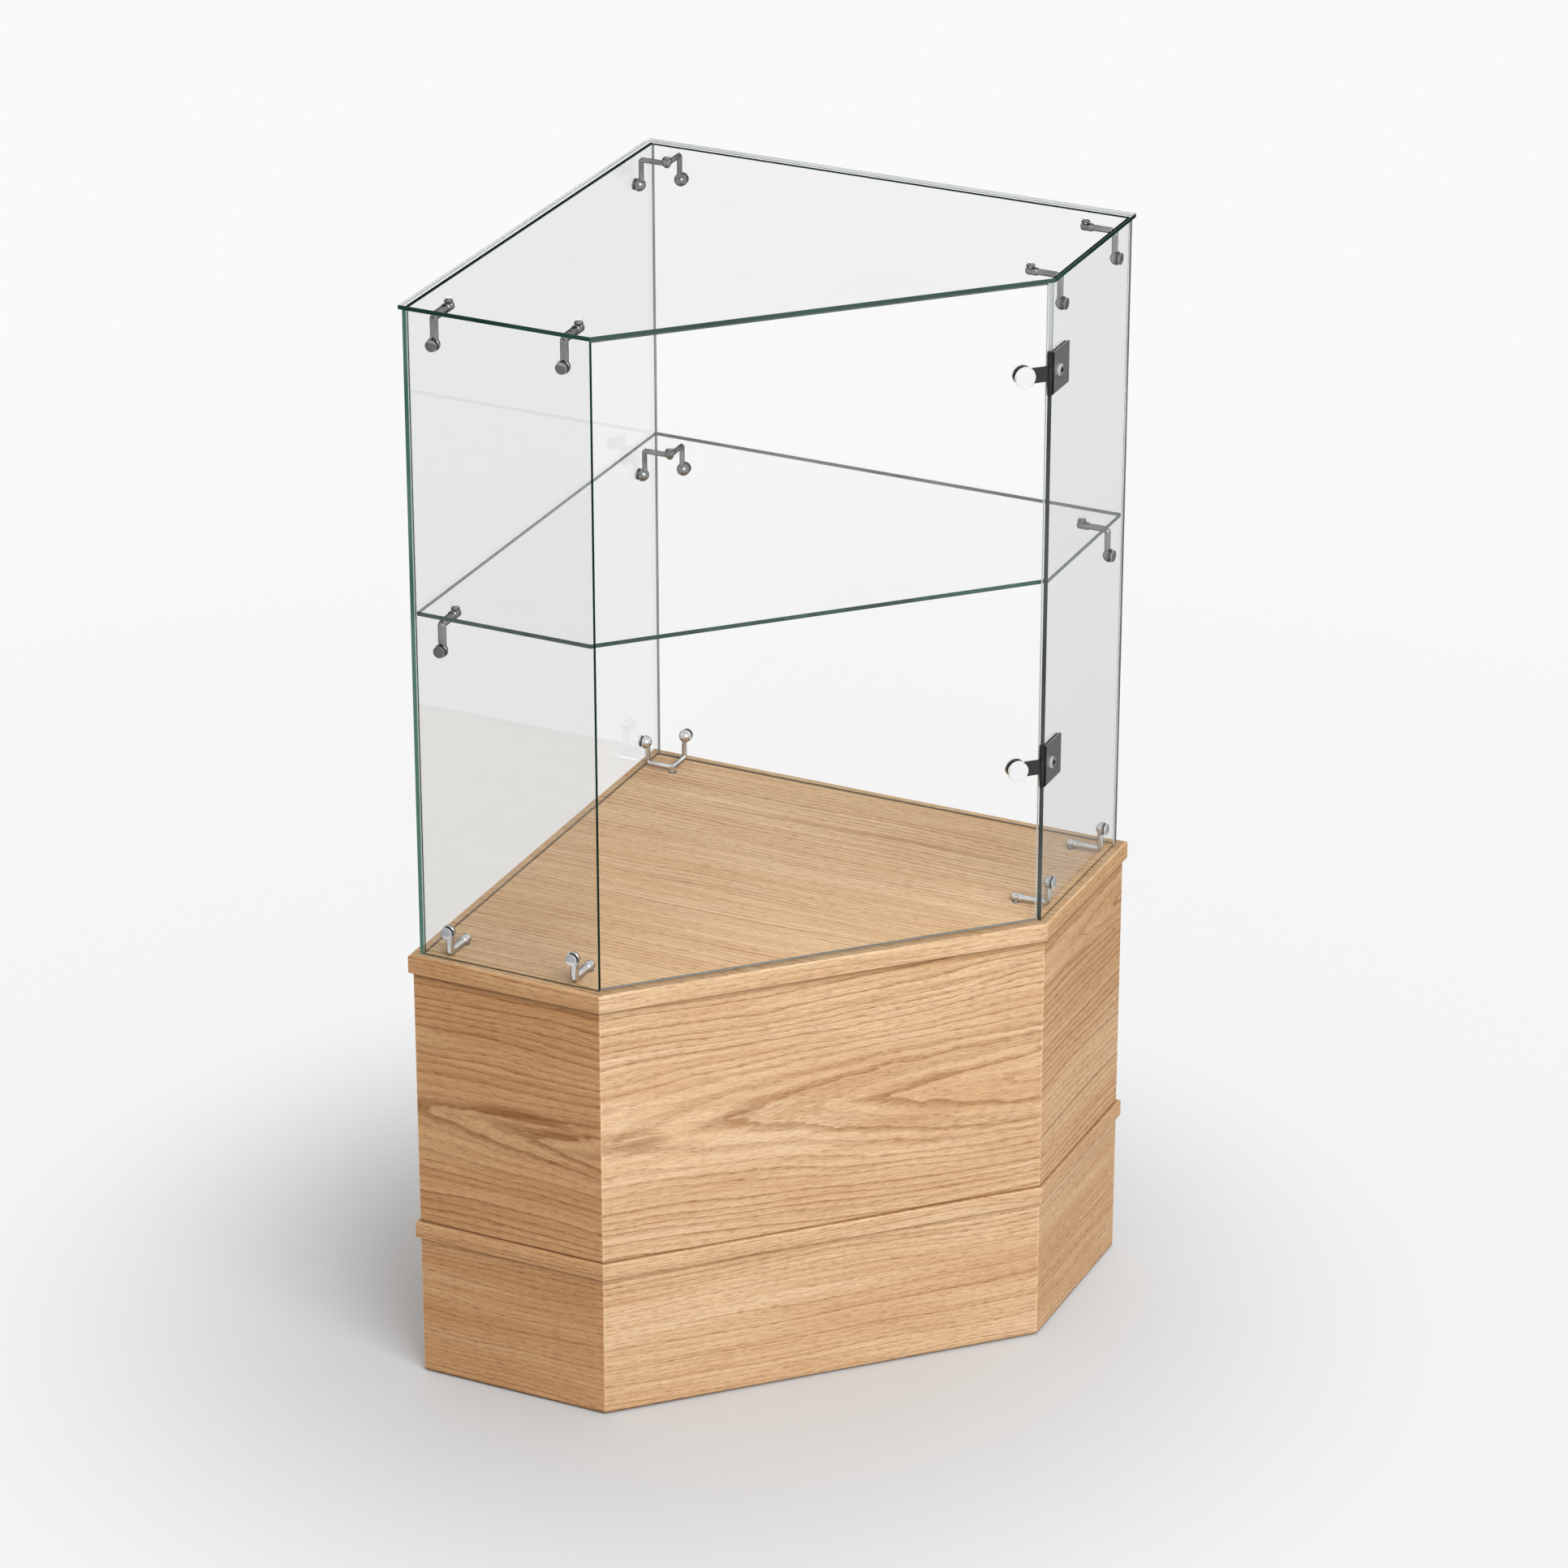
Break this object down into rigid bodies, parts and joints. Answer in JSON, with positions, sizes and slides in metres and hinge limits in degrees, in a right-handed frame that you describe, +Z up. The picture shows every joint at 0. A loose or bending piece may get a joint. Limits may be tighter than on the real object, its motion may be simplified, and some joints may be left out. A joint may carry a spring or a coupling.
{
  "type": "corner display case",
  "caption": "Corner display case: oak base and plinth on a cut-corner plan, frameless glass walls, glass shelf and top on chrome rod clips, hinged glass door.",
  "frame": {"origin": "on the floor, under the middle of the plan's bounding square", "axes": "+Z up; +X along the right back wall, away from the back corner; +Y towards the back corner along the left back wall; the door faces +X -Y"},
  "size_m": [0.608, 0.608, 1.292],
  "materials": {
    "oak": "light oak veneer, satin lacquer, grain level",
    "batten_wood": "sawn softwood",
    "dowel_wood": "fluted beech",
    "glass": "clear float glass, polished green edges",
    "clip_chrome": "polished chrome plate",
    "screw_steel": "plated, polished",
    "hinge_steel": "dark satin steel",
    "hinge_black": "black satin",
    "hinge_chrome": "polished chrome plate",
    "pin_steel": "ground",
    "nylon": "milky nylon",
    "pad_rubber": "matt",
    "glide_plastic": "matt"
  },
  "bodies": {
    "case": {"base_board": "oak", "base_corner_battens": "batten_wood", "base_dowels": "dowel_wood", "base_panel_back_left": "oak", "base_panel_back_right": "oak", "base_panel_front": "oak", "base_panel_left": "oak", "base_panel_right": "oak", "base_screws": "screw_steel", "base_slab": "oak", "clip_base_left_front": "clip_chrome", "clip_base_left_rear": "clip_chrome", "clip_base_right_front": "clip_chrome", "clip_base_right_rear": "clip_chrome", "clip_shelf_left_rear": "clip_chrome", "clip_shelf_right_rear": "clip_chrome", "clip_top_left_front": "clip_chrome", "clip_top_left_rear": "clip_chrome", "clip_top_right_front": "clip_chrome", "clip_top_right_rear": "clip_chrome", "corner_bracket_base": "clip_chrome", "corner_bracket_shelf": "clip_chrome", "corner_bracket_top": "clip_chrome", "floor_glides": "glide_plastic", "glass_back_left": "glass", "glass_back_right": "glass", "glass_left": "glass", "glass_right": "glass", "glass_shelf": "glass", "glass_top": "glass", "glass_washers": "nylon", "hinge_back_plate_lower": "hinge_steel", "hinge_back_plate_upper": "hinge_steel", "hinge_body_lower": "hinge_steel", "hinge_body_upper": "hinge_steel", "hinge_bolts": "hinge_chrome", "hinge_glass_pads": "pad_rubber", "hinge_pin_lower": "pin_steel", "hinge_pin_upper": "pin_steel", "plinth_corner_blocks": "batten_wood", "plinth_dowels": "dowel_wood", "plinth_panel_back_left": "oak", "plinth_panel_back_right": "oak", "plinth_panel_front": "oak", "plinth_panel_left": "oak", "plinth_panel_right": "oak", "shelf_screws": "screw_steel", "slab_dowels": "dowel_wood", "top_screws": "screw_steel", "wall_screws": "screw_steel"},
    "door": {"door_glass": "glass", "hinge_arm_lower": "hinge_black", "hinge_arm_upper": "hinge_black", "hinge_cap_lower": "hinge_chrome", "hinge_cap_upper": "hinge_chrome", "hinge_door_pads": "pad_rubber", "hinge_inner_disc_lower": "hinge_chrome", "hinge_inner_disc_upper": "hinge_chrome"}
  },
  "joints": [
    {"name": "door_hinge", "type": "hinge", "parent": "case", "child": "door", "pos_m": [0.29395, 0.06749, 0.9525], "axis": [0, 0, 1], "range_deg": [0, 120]}
  ]
}
